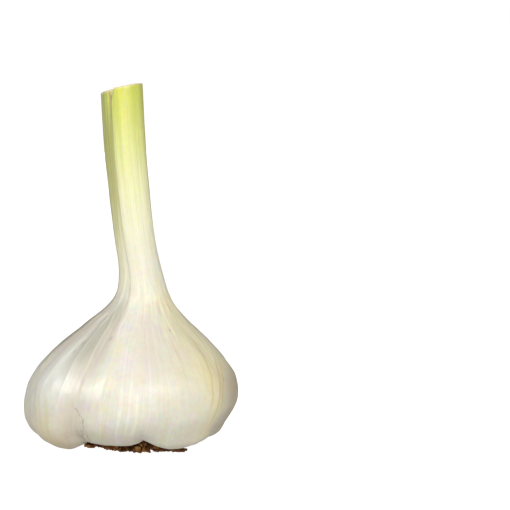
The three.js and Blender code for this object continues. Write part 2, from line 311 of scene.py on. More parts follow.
# Waves on the way out: bends in degrees, a rise and fall in millimetres, knobs as a share of the
# thickness, and how many radians each runs through.
ROOT_BEND = 8.0
ROOT_WAVE = 2.5
ROOT_WAVE_RATE = 9
ROOT_SAG_WAVE = 0.12
ROOT_SAG_RATE = 7
ROOT_KNOBS = 0.12
ROOT_KNOB_RATE = 23
# How far out the roots are trimmed, unevenly: angle and radius.
ROOT_EDGE = [
    (-180, 14.2), (-110, 14.0), (-78, 12.9), (-60, 12.3), (-46, 12.6), (-34, 13.4),
    (-24, 13.7), (-15, 12.4), (-8, 12.2), (2, 13.0), (9, 14.4), (15, 14.2),
    (23, 12.5), (32, 12.1), (50, 12.9), (80, 14.0), (180, 14.2),
]
STRAY_START = 9.5
STRAY_RADIUS = (0.42, 0.6)  # half their thickness
# Longer roots: angle, how far out they end and how high.
STRAYS = [
    # a raised knot in the front groove
    (3, 13.3, 1.3), (5, 13.7, 1.8), (7, 14.0, 2.2), (9, 14.2, 2.6), (11, 14.3, 2.8), (13, 14.3, 2.7),
    (15, 14.2, 2.4), (17, 14.1, 2.0), (19, 14.0, 1.7), (21, 13.8, 1.3), (8, 13.6, 3.1), (12, 13.6, 3.2),
    # under the clove on the right
    (26, 13.9, 0.5), (28, 14.1, 0.6), (30, 14.3, 0.5), (32, 14.6, 0.6), (34, 15.0, 0.5), (36, 15.4, 0.6),
    (38, 15.8, 0.5), (40, 16.3, 0.6), (41.5, 16.7, 0.5), (43, 17.1, 0.7), (44.5, 17.6, 0.5),
    (46, 18.2, 0.6), (47.5, 18.7, 0.5), (49, 18.8, 0.6), (51, 17.8, 0.6), (53.5, 16.7, 0.5),
    (57, 15.7, 0.6), (61, 14.9, 0.5),
    # under the clove on the left, then some above them
    (-40, 14.4, 1.3), (-44, 15.1, 1.4), (-47, 15.8, 1.5), (-50, 16.4, 1.4), (-53, 16.8, 1.3),
    (-56, 16.9, 1.2), (-60, 16.4, 1.1), (-65, 15.6, 1.1),
    (-45, 15.1, 2.2), (-48, 15.6, 2.4), (-51, 16.0, 2.5), (-54, 16.2, 2.5), (-58, 16.1, 2.1),
]


# ---------------------------------------------------------------- numbers

def smooth(x, low, high):
    """0 below low, 1 above high, and an S curve between."""
    t = np.clip((x - low) / (high - low), 0, 1)
    return t * t * (3 - 2 * t)


def within(x, span):
    """0 before the first number of a span, 1 between its middle two, 0 after its last."""
    begin, full, ending, end = span
    return smooth(x, begin, full) * (1 - smooth(x, ending, end))


def mix(a, b, share):
    """The value that lies a share of the way from a to b."""
    return a + (b - a) * share


def hump(off, half_width):
    """A bell curve: 1 in the middle, about a third of that at the half width."""
    return np.exp(-((off / half_width) ** 2))


def turn_between(a, b):
    """The signed difference of two angles, from -180 to 180."""
    return np.mod(a - b + 180, 360) - 180


def through(points, where):
    """A smooth curve through the points (uniform Catmull-Rom) and its direction, at places 0 to n-1."""
    ends = np.vstack([2 * points[0] - points[1], points, 2 * points[-1] - points[-2]])
    i = np.clip(np.floor(where).astype(int), 0, len(points) - 2)
    t = (where - i)[..., None]
    a, b, c, d = ends[i], ends[i + 1], ends[i + 2], ends[i + 3]
    square, cube = 2 * a - 5 * b + 4 * c - d, -a + 3 * b - 3 * c + d
    place = 0.5 * (2 * b + (c - a) * t + square * t**2 + cube * t**3)
    direction = 0.5 * ((c - a) + 2 * square * t + 3 * cube * t**2)
    return place, direction


def curve(points, x):
    """A smooth curve through points of (x, y), level before the first and after the last."""
    xs, ys = np.array(points, float).T
    place, _ = through(ys[:, None], np.interp(x, xs, np.arange(len(xs))))
    return place[..., 0]


def noise(round_share, along, cells, seed):
    """Smooth noise from -1 to 1 that closes on itself once round: random numbers on a grid, blended
    between its corners. cells: how many steps the grid has once round, and how many per unit along."""
    around, per_unit = cells
    table = np.random.default_rng(seed).uniform(-1, 1, (NOISE_ROWS, around))
    x, y = round_share * around, along * per_unit
    i, j = np.floor(x).astype(int), np.floor(y).astype(int)
    u, v = smooth(x - i, 0, 1), smooth(y - j, 0, 1)

    def corner(right, up):
        return table[np.mod(j + up, NOISE_ROWS), np.mod(i + right, around)]

    return mix(mix(corner(0, 0), corner(1, 0), u), mix(corner(0, 1), corner(1, 1), u), v)


def roughness(round_share, along, layers):
    """Layers of noise added up, each with its height, its cells and its seed."""
    return sum(height * noise(round_share, along, cells, seed) for height, cells, seed in layers)


# ---------------------------------------------------------------- meshes

def closed_faces(rings, columns):
    """The faces, seen from outside, of a form whose points are a pole, its rings in turn and a pole."""
    at = 1 + np.arange(rings)[:, None] * columns + np.arange(columns)
    beside = np.roll(at, -1, axis=1)
    quads = np.stack([at[:-1], beside[:-1], beside[1:], at[1:]], -1).reshape(-1, 4)
    foot = np.stack([np.zeros(columns, int), beside[0], at[0]], -1)
    head = np.stack([at[-1], beside[-1], np.full(columns, 1 + rings * columns)], -1)
    return quads, foot, head


def new_piece(name, points, faces):
    """A smooth object in the scene, from points in millimetres and lists of corners."""
    mesh = bpy.data.meshes.new(name)
    mesh.from_pydata((points * MM).tolist(), [], faces)
    mesh.shade_smooth()
    piece = bpy.data.objects.new(name, mesh)
    bpy.context.scene.collection.objects.link(piece)
    return piece


def surface(name, rings, low_pole, high_pole):
    """A closed form from rings of points, shape (rings, columns, 3) in millimetres, and two poles."""
    points = np.vstack([[low_pole], rings.reshape(-1, 3), [high_pole]])
    quads, foot, head = closed_faces(*rings.shape[:2])
    return new_piece(name, points, quads.tolist() + foot.tolist() + head.tolist())


def tubes(name, paths, radii):
    """Closed tubes: rings of points stand across each path. paths: (tubes, rings, 3) in millimetres."""
    count, rings = radii.shape
    ahead = np.gradient(paths, axis=1)
    ahead /= np.linalg.norm(ahead, axis=-1, keepdims=True)
    side = np.cross(ahead, (0.0, 0.0, 1.0))
    side /= np.linalg.norm(side, axis=-1, keepdims=True)
    above = np.cross(side, ahead)
    turn = np.arange(ROOT_SIDES) * 2 * np.pi / ROOT_SIDES
    spokes = side[:, :, None] * np.cos(turn)[:, None] + above[:, :, None] * np.sin(turn)[:, None]
    rim = paths[:, :, None] + radii[:, :, None, None] * spokes
    points = np.concatenate([paths[:, :1], rim.reshape(count, -1, 3), paths[:, -1:]], axis=1)
    start = np.arange(count)[:, None, None] * points.shape[1]
    faces = []
    for part in closed_faces(rings, ROOT_SIDES):
        faces += (start + part).reshape(-1, part.shape[1]).tolist()
    return new_piece(name, points.reshape(-1, 3), faces)


def give(piece, name, values):
    """A point attribute: one number for each point, or three."""
    values = np.asarray(values, np.float32)
    vector = values.ndim == 2
    kind = "FLOAT_VECTOR" if vector else "FLOAT"
    attribute = piece.data.attributes.new(name, kind, "POINT")
    attribute.data.foreach_set("vector" if vector else "value", values.ravel())


# ---------------------------------------------------------------- the skin

class Skin:
    """The grid of the skin: for each point its clove, its share across it, its angle and its station."""

    def __init__(self):
        spans = [np.linspace(a, b, n, endpoint=False) for a, b, n in ROW_SPANS]
        rows = np.append(np.concatenate(spans), LAST)
        clove = np.repeat(np.arange(CLOVES), COLUMNS)
        across = np.tile(np.arange(COLUMNS) / COLUMNS, CLOVES)
        self.station, self.clove = np.meshgrid(rows, clove, indexing="ij")
        self.across = np.broadcast_to(across, self.station.shape)
        leaning = 1 - smooth(rows, 0, LEAN_END)
        creases = CLOVE_FROM + CLOVE_LEAN * leaning[:, None]
        self.creases = np.hstack([creases, creases[:, :1] + 360])
        first = np.take_along_axis(self.creases, self.clove, 1)
        past = np.take_along_axis(self.creases, self.clove + 1, 1)
        self.round = mix(first, past, self.across)
        self.share = (self.clove + self.across) / CLOVES


def crease_depth(skin, sides, bases, valley_share=VALLEY_SHARE):
    """How deep the skin sinks between the cloves: creases, which open into broad valleys up the sides."""
    side = within(skin.station, VALLEY_SPAN)
    base = within(skin.station, CREASE_SPAN)
    depth = np.zeros(skin.station.shape)
    for i in range(CLOVES):
        off = turn_between(skin.round, skin.creases[:, i : i + 1])
        valley = hump(off, VALLEY_WIDTH)
        crease = np.exp(-(np.hypot(off, CREASE_ROUNDING) - CREASE_ROUNDING) / CREASE_WIDTH)
        depth += side * sides[i] * mix(crease, valley, valley_share) + base * bases[i] * crease
    return depth


def calm_on_neck(skin):
    """How much of the relief's fine detail is left: less on the neck."""
    return mix(1, RIB_SHARE_ON_NECK, smooth(skin.station, *RIB_CALM))


def rib_relief(skin, half_width, ditch=0.0):
    """Ribs of the wrapper leaf, with a shallow ditch along the left of each. The width is in degrees."""
    relief = np.zeros(skin.station.shape)
    half_width = half_width * mix(1, RIB_TURN_ON_NECK, smooth(skin.station, *RIB_NARROWING))
    for i, ribs in enumerate(RIBS):
        first, past = skin.creases[:, i : i + 1], skin.creases[:, i + 1 : i + 2]
        for number, (across, height) in enumerate(ribs):
            bend = RIB_BENDS.get((i, number), [(0, 0), (LAST, 0)])
            place = mix(first, past, across) + curve(bend, skin.station[:, :1])
            off = turn_between(skin.round, place) / half_width
            relief += height * (hump(off, 1) - ditch * hump(off + RIB_DITCH_PLACE, RIB_DITCH_WIDTH))
    return relief * smooth(skin.station, *RIB_RISE) * calm_on_neck(skin)


def fine_vein_relief(skin):
    """Finer veins between the ribs: each a little ridge with a height and a sideways drift of its own."""
    rng = np.random.default_rng(FINE_VEIN_SEED)
    count = CLOVES * FINE_VEINS
    heights = rng.uniform(*FINE_VEIN_HEIGHT, count)
    offsets = rng.uniform(*FINE_VEIN_OFFSET, count)
    place = skin.share * count + roughness(skin.share, skin.station, FINE_VEIN_DRIFT)
    relief = np.zeros(skin.station.shape)
    for shift in (-1, 0, 1):
        vein = np.floor(place).astype(int) + shift
        off = place - vein - 0.5 - offsets[vein % count]
        relief += heights[vein % count] * hump(off, FINE_VEIN_HALF_WIDTH)
    return relief * smooth(skin.station, *FINE_VEIN_RISE)


def split_sides(skin):
    """How far a point is from the split's middle, how wide half the split is, and if it is in its run."""
    rise = mix(STATIONS[LAST - 1, 1], STATIONS[LAST, 1], skin.station - (LAST - 1))
    below = np.clip((STATIONS[LAST, 1] - rise) / SPLIT_RUN, 0, 1)
    middle = SHEATH_EDGE + SPLIT_PLACE + SPLIT_LEAN * (1 - below)
    return np.abs(turn_between(skin.round, middle)), SPLIT_HALF_WIDTH * (1 - below), below < 1


def split_mask(skin):
    """1 inside the V-shaped split that opens the leaf's edge just below the cut."""
    off, half, in_run = split_sides(skin)
    return (1 - smooth(off, half * SPLIT_BOTTOM, half + TINY)) * in_run


def split_edge_mask(skin):
    """1 along the two brown sides of the split."""
    off, half, in_run = split_sides(skin)
    return hump(off - half, SPLIT_SIDE_WIDTH) * in_run


def past_edge(skin):
    """Degrees round from the outermost leaf's free edge, from 0 to 360."""
    return np.mod(skin.round - SHEATH_EDGE, 360)


def sheath_relief(skin):
    """The outermost leaf wraps the neck once, thickest at its free edge, which is split at the cut."""
    step = smooth(past_edge(skin), 0, SHEATH_ROUNDING) * (1 - past_edge(skin) / 360)
    leaf = smooth(skin.station, *SHEATH_RISE) * SHEATH_THICKNESS * step
    return leaf - SPLIT_DEPTH * split_mask(skin)


def skin_relief(skin):
    """How far the skin stands off its outline, along the outline's normal."""
    swell = within(skin.station, SWELL_SPAN)
    bulge = 1 - np.abs(2 * skin.across - 1) ** BULGE_POWER
    beside = np.where(skin.across < 0.5, skin.clove - 1, (skin.clove + 1) % CLOVES)
    own, other = CLOVE_LOW[skin.clove], CLOVE_LOW[beside]
    relief = swell * CLOVE_SWELL + within(skin.station, HANG_SPAN) * mix((own + other) / 2, own, bulge)
    relief -= crease_depth(skin, CREASE_SIDE, CREASE_BASE)
    for count, size, phase in UNEVEN:
        relief += swell * size * np.cos(np.radians(count * skin.round + phase))
    ribs = rib_relief(skin, RIB_HALF_WIDTH, RIB_DITCH)
    relief += ribs * mix(*RIB_SHARE, smooth(skin.station, *SHOULDER))
    relief += fine_vein_relief(skin) + sheath_relief(skin)
    rough = roughness(skin.share, skin.station, SKIN_ROUGHNESS) * smooth(skin.station, *SKIN_ROUGH_RISE)
    return relief + rough * calm_on_neck(skin)


def skin_points(skin):
    """The outline turned round, each point moved by its relief along the normal, slanted at the cut."""
    place, direction = through(STATIONS, skin.station)
    length = np.hypot(direction[..., 0], direction[..., 1])
    relief = skin_relief(skin)
    radius = place[..., 0] + relief * direction[..., 1] / length
    height = place[..., 1] - relief * direction[..., 0] / length
    angle = np.radians(skin.round)
    oval = mix(1, NECK_OVAL, smooth(skin.station, *OVAL_RISE))
    x, y = radius * np.sin(angle), -radius * np.cos(angle) * oval
    slanted = smooth(skin.station, CUT_RUN, LAST)
    height = height + slanted * (x * CUT_SLOPE[0] + y * CUT_SLOPE[1])
    return np.stack([place[..., 2] + x, place[..., 3] + y, height], -1)


# ---------------------------------------------------------------- marks on the skin

def patch_mask(skin, middle, half_width, crisp, low, high):
    """A patch of the skin round an angle, between two stations. A higher crisp has sharper sides."""
    patch = np.exp(-(np.abs(turn_between(skin.round, middle) / half_width) ** crisp))
    before, after, fade = PATCH_FADE
    return patch * within(skin.station, (low - before, low + after, high, high + fade))


def fleck_mask(skin, points):
    """Small round flecks, each measured from its own middle point on the skin."""
    mask = np.zeros(skin.station.shape)
    for angle, station, half_width in FLECKS:
        away = np.abs(turn_between(skin.round, angle)) + STATION_DEG * np.abs(skin.station - station)
        middle = points[np.unravel_index(np.argmin(away), away.shape)]
        mask = np.maximum(mask, hump(np.linalg.norm(points - middle, axis=-1), half_width))
    return mask


def line_mask(skin, path, half_width, low, high):
    """A thin line along an angle for each point, from one station to another, fading at both ends."""
    line = hump(turn_between(skin.round, path), half_width)
    return line * within(skin.station, (low, low + LINE_FADE, high - LINE_FADE, high))


def drawn_line_mask(skin, wanted):
    """The drawn lines of one name, each along its own smooth curve of stations and angles."""
    mask = np.zeros(skin.station.shape)
    for name, half_width, path in LINES:
        if name == wanted:
            line = line_mask(skin, curve(path, skin.station), half_width, path[0][0], path[-1][0])
            mask = np.maximum(mask, line)
    return mask


def crack_mask(skin):
    """Thin torn lines that wind down the groove left of the front clove to the root plate."""
    path = curve(CRACK_PATH, skin.station)
    mask = np.zeros(skin.station.shape)
    for beside, low, high in CRACK_BRANCHES:
        wander = sum(size * np.sin(skin.station * rate + n * beside) for size, rate, n in CRACK_WAVES)
        mask = np.maximum(mask, line_mask(skin, path + beside + wander, CRACK_HALF_WIDTH, low, high))
    return mask


def inner_leaf_mask(skin):
    """1 where the inner leaf shows left of the free edge, and less close beside it at the cut. It is
    painted greener, and darker as painted shade where it lies deeper.
    """
    close = mix(*INNER_LEAF_CLOSE, smooth(skin.station, *INNER_LEAF_FADE))
    beside = mix(1, close, smooth(past_edge(skin), *INNER_LEAF_BESIDE))
    return smooth(past_edge(skin), *INNER_LEAF_TURN) * smooth(skin.station, *INNER_LEAF_RISE) * beside


def leaf_edge_mask(skin):
    """1 along the outermost leaf's free edge on the neck."""
    off = turn_between(skin.round, SHEATH_EDGE + LEAF_EDGE_PLACE)
    return hump(off, LEAF_EDGE_HALF_WIDTH) * smooth(skin.station, *LEAF_EDGE_RISE)


def spread(skin, on_skin, in_cut=0.0, in_socket=0.0):
    """One value per point of the bulb: pole, socket ring, skin, rings of the cut, pole."""
    body = np.broadcast_to(on_skin, skin.station.shape)
    columns = body.shape[1]
    inside = np.broadcast_to(np.reshape(in_cut, (-1, 1)), (len(CUT_RINGS), columns))
    hollow = np.full(1 + columns, in_socket)
    return np.concatenate([hollow, body.ravel(), inside.ravel(), [inside[-1, 0]]])


def mark_bulb(piece, skin, points):
    """Attributes for the material: where each point lies on the leaf, and how strong each mark is,
    painted shade and a painted highlight among them.
    """
    shares = np.array([share for share, _ in CUT_RINGS])
    steps = np.diff(points, axis=0, prepend=points[:1])
    run = np.cumsum(np.linalg.norm(steps, axis=-1), axis=0).mean(1, keepdims=True)
    give(piece, "station", spread(skin, skin.station, LAST))
    give(piece, "run", spread(skin, run, run[-1, 0] + CUT_RADIUS * (1 - shares)))
    give(piece, "cut", spread(skin, 0.0, np.minimum(1, (1 - shares) * CUT_SHARPNESS)))
    give(piece, "ring", spread(skin, 1.0, shares))
    ribs = rib_relief(skin, RIB_HALF_WIDTH * RIB_TINT_WIDTH) / RIB_TINT_HEIGHT
    veins = fine_vein_relief(skin) / FINE_VEIN_HEIGHT[1]
    # How deep the creases are, for the painted shade in them and for the dirt
    creases = crease_depth(skin, CREASE_SIDE / CREASE_TINT_DEPTH, np.ones(CLOVES), 0.0)
    give(piece, "rib", spread(skin, np.clip(ribs, 0, 1)))
    give(piece, "vein", spread(skin, np.clip(veins, 0, 1)))
    give(piece, "crease", spread(skin, np.clip(creases, 0, 1), in_socket=1.0))
    give(piece, "inner_leaf", spread(skin, inner_leaf_mask(skin)))
    give(piece, "leaf_edge", spread(skin, leaf_edge_mask(skin)))
    give(piece, "fleck", spread(skin, fleck_mask(skin, points)))
    # Broad tints, some of them painted shade and one a painted highlight
    for wanted, _, _ in PATCH_TINTS:
        patches = sum(patch_mask(skin, *place) for name, place in PATCHES if name == wanted)
        give(piece, wanted, spread(skin, patches))
    give(piece, "crack", spread(skin, crack_mask(skin)))
    for wanted, _, _ in LINE_TINTS:
        give(piece, wanted, spread(skin, drawn_line_mask(skin, wanted)))
    give(piece, "split", spread(skin, split_mask(skin)))
    give(piece, "split_edge", spread(skin, split_edge_mask(skin)))
    angle = np.radians(skin.round)
    turn = np.concatenate([[0], angle[0], angle.ravel(), np.tile(angle[0], len(shares)), [0]])
    give(piece, "turn", np.stack([np.cos(turn), np.sin(turn), np.zeros(len(turn))], -1))


# ---------------------------------------------------------------- the bulb

def cut_rings(skin, rim, middle):
    """The rim drawn in towards the middle, ring by ring. Each wavers, so no sheath is a true circle."""
    share_round = skin.share[-1]
    rings = []
    for i, (share, height) in enumerate(CUT_RINGS):
        waver = roughness(share_round, np.full(share_round.shape, share), CUT_WAVER)
        rough = roughness(share_round, np.full(share_round.shape, float(i)), CUT_ROUGHNESS)
        ring = middle + (rim - middle) * (share + waver * (1 - share))[:, None]
        ring[:, 2] += height + rough
        rings.append(ring)
    return np.array(rings)


def make_bulb():
    """The skin's rings, with a socket over the root plate below them and the rings of the cut on top."""
    skin = Skin()
    points = skin_points(skin)
    middle = np.array([STATIONS[LAST, 2], STATIONS[LAST, 3], STATIONS[LAST, 1]])
    angle = np.radians(skin.round[0])
    roof = np.full(len(angle), SOCKET_ROOF)
    socket = np.stack([SOCKET_RADIUS * np.sin(angle), -SOCKET_RADIUS * np.cos(angle), roof], -1)
    rings = np.concatenate([socket[None], points, cut_rings(skin, points[-1], middle)])
    piece = surface("garlic_bulb", rings, (0, 0, SOCKET_ROOF), middle + (0, 0, CUT_CENTRE_RISE))
    mark_bulb(piece, skin, points)
    return piece


# ---------------------------------------------------------------- the root crown

def make_plate():
    """The plate's profile turned round, its foot pitted and its rim knobbly, all above the floor."""
    profile = np.array([(radius, 0) for radius in PLATE_FOOT] + PLATE_PROFILE, float)
    where = np.linspace(0, len(profile) - 1, PLATE_RINGS)
    place, _ = through(profile, where)
    turn = np.linspace(0, 2 * np.pi, PLATE_COLUMNS, endpoint=False)
    share = np.broadcast_to(turn / (2 * np.pi), (PLATE_RINGS, PLATE_COLUMNS))
    along = np.broadcast_to(where[:, None], share.shape)
    lump = roughness(share, along, PLATE_ROUGHNESS)
    pits = np.abs(lump) * (1 - smooth(along, *PLATE_PITS_END)) * PLATE_PIT_SHARE
    radius = place[:, :1] + lump * smooth(along, *PLATE_RIM_RISE)
    height = np.clip(place[:, 1:], 0, None) + pits
    rings = np.stack([radius * np.sin(turn), -radius * np.cos(turn), height], -1)
    return surface("root_plate", rings, (0, 0, PLATE_LOW_POLE), (0, 0, PLATE_PROFILE[-1][1]))


def make_roots():
    """Trimmed roots leave the plate's rim, droop to the floor and wander a little on their way out."""
    rng = np.random.default_rng(ROOT_SEED)
    share = np.linspace(0, 1, ROOT_RINGS)
    batches = []
    for count, start, reach, radius, end_height in ROOT_KINDS:
        turn = rng.uniform(0, 360, count)
        first = rng.uniform(*start, count)
        past = curve(ROOT_EDGE, turn_between(turn, 0)) + rng.uniform(*reach, count)
        batches.append((turn, first, past, rng.uniform(*radius, count), rng.uniform(*end_height, count)))
    turn, past, end_height = np.array(STRAYS, float).T
    first = np.full(len(STRAYS), STRAY_START)
    batches.append((turn, first, past, rng.uniform(*STRAY_RADIUS, len(STRAYS)), end_height))
    turn, first, past, radius, end_height = np.hstack([np.array(batch) for batch in batches])[..., None]
    count = len(turn)

    def any_phase():
        return rng.uniform(0, 6, (count, 1))

    phase = any_phase()
    bend = rng.normal(0, ROOT_BEND, (count, 1)) * share
    bend[-len(STRAYS) :] = 0
    bend = bend + rng.normal(0, ROOT_WAVE, (count, 1)) * np.sin(share * ROOT_WAVE_RATE + phase)
    angle = np.radians(turn + bend)
    top = rng.uniform(*ROOT_TOP, (count, 1))
    sag = mix(top, end_height, smooth(share, 0, ROOT_DROOP))
    sag = sag + ROOT_SAG_WAVE * np.sin(share * ROOT_SAG_RATE + any_phase())
    radius = radius * mix(1, rng.uniform(*ROOT_BLUNT, (count, 1)), share)
    radius = radius * (1 + ROOT_KNOBS * np.sin(share * ROOT_KNOB_RATE + any_phase()))
    height = np.maximum(sag, radius + ROOT_CLEAR)
    out = mix(first, past, share)
    paths = np.stack([out * np.sin(angle), -out * np.cos(angle), height], -1)
    piece = tubes("root_hairs", paths, radius)
    along = np.concatenate([[0], np.repeat(share, ROOT_SIDES), [1]])
    give(piece, "tone", np.repeat(rng.uniform(0, 1, count), len(along)))
    give(piece, "tip", np.tile(along, count))
    return piece


# ---------------------------------------------------------------- node trees

# Places of the factor and the two colours among a mix node's inputs, and of the colour it gives.
MIX_INPUTS = (0, 6, 7)
MIX_OUTPUT = 2


class Graph:
    """Adds nodes to a tree. An input is given by name or place as a value or as another node's output."""

    def __init__(self, tree):
        self.tree = tree

    def feed(self, socket, value):
        """Links an output to a socket, or sets the socket to a plain value."""
        if isinstance(value, bpy.types.NodeSocket):
            self.tree.links.new(value, socket)
        else:
            socket.default_value = value

    def add(self, kind, inputs=(), output=0, **settings):
        """A node with its settings and inputs. Gives back one of its outputs."""
        node = self.tree.nodes.new(kind)
        for name, value in settings.items():
            setattr(node, name, value)
        for key, value in dict(inputs).items():
            self.feed(node.inputs[key], value)
        return node.outputs[output]

    def math(self, operation, a, b):
        """A sum, product or the like of two inputs."""
        return self.add("ShaderNodeMath", {0: a, 1: b}, operation=operation)

    def rising(self, value, start, rise):
        """The start where the value is 0, and more by the rise where it is 1."""
        return self.math("ADD", start, self.math("MULTIPLY", value, rise))

    def attribute(self, name, output="Fac"):
        """What a piece gives its points under this name."""
        return self.add("ShaderNodeAttribute", output=output, attribute_name=name)

    def between(self, value, low, high):
        """0 below low, 1 above high and an S curve between."""
        inputs = {"Value": value, "From Min": low, "From Max": high}
        return self.add("ShaderNodeMapRange", inputs, interpolation_type="SMOOTHSTEP")

    def blend(self, share, a, b, mode="MIX"):
        """Colour b over colour a in a share. A colour is three numbers or an output."""
        colours = [c if isinstance(c, bpy.types.NodeSocket) else (*c, 1) for c in (a, b)]
        inputs = dict(zip(MIX_INPUTS, (share, *colours)))
        return self.add("ShaderNodeMix", inputs, MIX_OUTPUT, data_type="RGBA", blend_type=mode)

    def tint(self, colour, mask, share, tint):
        """Lays a tint over a colour, in a share, where the mask is 1."""
        return self.blend(self.math("MULTIPLY", mask, share), colour, tint)

    def ramp(self, value, stops):
        """Colours that follow a value, from stops of a place and a colour."""
        node = self.add("ShaderNodeValToRGB", {0: value}).node
        elements = node.color_ramp.elements
        while len(elements) < len(stops):
            elements.new(0.5)
        for element, (place, colour) in zip(elements, stops):
            element.position, element.color = place, (*colour, 1)
        return node.outputs[0]

    def use(self, group, output, **inputs):
        """A group's output, with the group's inputs by their names in small letters."""
        named = {name.capitalize(): value for name, value in inputs.items()}
        return self.add("ShaderNodeGroup", named, output, node_tree=group)


def set_sockets(sockets, values):
    """Sets sockets to plain values, by name."""
    for name, value in values.items():
        sockets[name].default_value = value


# ---------------------------------------------------------------- camera, light and floor

CAMERA_HEIGHT_DEG = 8.0  # how far above the horizon the camera stands
CAMERA_DISTANCE = 600.0
CAMERA_AIM = (33.4, 0.0, 53.7)
CAMERA_CLIP = (0.01, 100)  # metres
FIELD = 143.0  # what the camera sees across, at the object
SENSOR = 36.0

LIGHT_AIM = (0, 0, 25)
# Soft boxes: name, place, width, watts, colour and whether they show as glints.
LIGHTS = [
    ("front", (0, -900, 120), 500, 4.95, (1.0, 0.985, 0.975), False),
    ("key", (272, -611, 602), 350, 2.1, (1.0, 0.985, 0.975), True),
    ("left", (-669, -167, 578), 350, 2.9, (0.97, 0.98, 1.0), True),
    ("right", (700, -420, 560), 500, 2.1, (1.0, 0.95, 0.86), False),
    ("top", (0, -100, 900), 500, 0.8, (1, 1, 1), True),
    ("back", (-150, 880, 100), 500, 1.5, (1, 1, 1), False),
]
ROOM_COLOUR = (1.0, 0.97, 0.93, 1)
ROOM_STRENGTH = {"From Min": -0.3, "From Max": 0.3, "To Min": 0.5, "To Max": 0.14}
FLOOR_HALF = 30000.0
FLOOR_FINISH = {
    "Base Color": (0.4, 0.4, 0.4, 1),
    "Roughness": 0.9,
    "Specular IOR Level": 0.1,
    "Emission Color": (1, 1, 1, 1),
    "Emission Strength": 0.97,
}


def make_camera():
    """The camera stands back from its aim and above the horizon, and its lens takes in the field."""
    data = bpy.data.cameras.new("camera")
    data.sensor_width = SENSOR
    data.lens = SENSOR * CAMERA_DISTANCE / FIELD
    data.clip_start, data.clip_end = CAMERA_CLIP
    camera = bpy.data.objects.new("camera", data)
    tilt = np.radians(CAMERA_HEIGHT_DEG)
    back = np.array([0, -np.cos(tilt), np.sin(tilt)]) * CAMERA_DISTANCE
    camera.location = (np.array(CAMERA_AIM) + back) * MM
    camera.rotation_euler = (np.pi / 2 - tilt, 0, 0)
    bpy.context.scene.collection.objects.link(camera)
    bpy.context.scene.camera = camera


def make_light(name, place, size, power, colour, mirrored):
    """A square soft box at a place, facing the bulb."""
    data = bpy.data.lights.new(name, "AREA")
    data.shape = "SQUARE"
    data.size = size * MM
    data.energy = power
    data.color = colour
    light = bpy.data.objects.new(name, data)
    light.location = np.array(place) * MM
    light.visible_camera = False
    light.visible_glossy = mirrored
    ahead = Vector(LIGHT_AIM) - Vector(place)
    light.rotation_euler = ahead.to_track_quat("-Z", "Y").to_euler()
    bpy.context.scene.collection.objects.link(light)


def make_studio():
    """Soft boxes in a room that is brighter below the horizon than above it."""
    scene = bpy.context.scene
    scene.view_settings.view_transform = "Standard"
    world = bpy.data.worlds.new("studio")
    world.use_nodes = True
    background = world.node_tree.nodes["Background"].inputs
    background["Color"].default_value = ROOM_COLOUR
    graph = Graph(world.node_tree)
    direction = graph.add("ShaderNodeTexCoord", output="Generated")
    rise = graph.add("ShaderNodeSeparateXYZ", {0: direction}, output=2)
    graph.feed(background["Strength"], graph.add("ShaderNodeMapRange", {"Value": rise, **ROOM_STRENGTH}))
    scene.world = world
    for light in LIGHTS:
        make_light(*light)


def make_floor():
    """A plain pale square under the bulb, which throws no light back on it."""
    corners = np.array([(-1, -1, 0), (1, -1, 0), (1, 1, 0), (-1, 1, 0)]) * FLOOR_HALF
    floor = new_piece("floor", corners, [(0, 1, 2, 3)])
    material, _, shader = new_material("floor")
    set_sockets(shader, FLOOR_FINISH)
    floor.data.materials.append(material)
    floor.visible_diffuse = False
    floor.visible_glossy = False


# ---------------------------------------------------------------- materials

# Colour of the wrapper leaf along its run: share of the way from the root plate to the cut.
LEAF_COLOURS = [
    (0.00, (0.42, 0.29, 0.15)),
    (0.06, (0.66, 0.55, 0.37)),
    (0.14, (0.77, 0.73, 0.59)),
    (0.28, (0.78, 0.77, 0.665)),
    (0.48, (0.77, 0.75, 0.655)),
    (0.60, (0.76, 0.745, 0.64)),
    (0.72, (0.90, 0.88, 0.75)),
    (0.80, (0.94, 0.93, 0.70)),
    (0.885, (0.93, 0.94, 0.53)),
    (0.93, (0.87, 0.90, 0.33)),
    (1.00, (0.77, 0.79, 0.085)),
]
# Tints that lie over the skin in streaks: their share, colour and the streaks' settings.
SKIN_TINTS = [
    (0.30, (0.82, 0.76, 0.48), dict(round=7.0, along=0.5, low=0.5, high=0.72, seed=11.0)),
    (0.28, (0.77, 0.66, 0.60), dict(round=9.0, along=0.7, low=0.5, high=0.72, seed=23.0)),
    (0.27, (0.62, 0.68, 0.55), dict(round=13.0, along=0.5, low=0.5, high=0.7, seed=31.0)),
    (0.3, (0.97, 0.97, 0.92), dict(round=22.0, along=0.3, detail=2.0, low=0.54, high=0.64, seed=37.0)),
    (0.34, (0.74, 0.69, 0.42), dict(round=27.0, along=0.3, detail=2.0, low=0.55, high=0.65, seed=43.0)),
]
ROOT_COLOURS = [
    (0.00, (0.016, 0.0075, 0.003)),
    (0.34, (0.052, 0.018, 0.005)),
    (0.52, (0.150, 0.046, 0.012)),
    (0.70, (0.26, 0.10, 0.026)),
    (0.84, (0.34, 0.18, 0.055)),
    (1.00, (0.42, 0.29, 0.11)),
]
CUT_COLOURS = [
    (0.00, (0.80, 0.79, 0.58)),
    (0.28, (0.72, 0.72, 0.42)),
    (0.50, (0.78, 0.77, 0.52)),
    (0.74, (0.70, 0.70, 0.38)),
    (0.90, (0.66, 0.66, 0.30)),
    (1.00, (0.50, 0.47, 0.24)),
]
